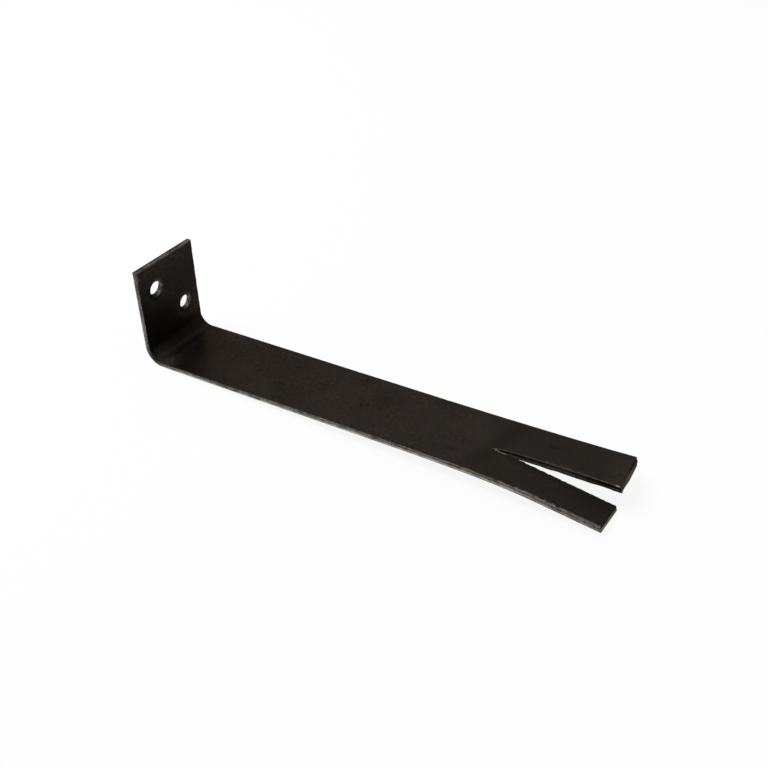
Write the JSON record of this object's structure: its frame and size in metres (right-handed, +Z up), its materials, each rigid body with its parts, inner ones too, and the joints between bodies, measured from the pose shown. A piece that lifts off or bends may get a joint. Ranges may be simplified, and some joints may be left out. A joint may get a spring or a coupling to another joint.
{
  "type": "fishtail wall tie",
  "caption": "Bent steel strip with an upstand carrying staggered fixing holes and a split fishtail end, screwed to a wall and built into a mortar joint to tie masonry to it.",
  "frame": {"origin": "on the upstand's wall face, on the strip's centreline and midway in height between the fixing holes", "axes": "+X along the strip away from the wall, +Y across it to its rear long edge, +Z up the upstand"},
  "size_m": [0.151, 0.0254, 0.0375],
  "materials": {
    "mill_scale_steel": "satin black mill scale as rolled, with bare sheared edges"
  },
  "bodies": {
    "root": {"wall_tie": "mill_scale_steel"}
  },
  "joints": []
}
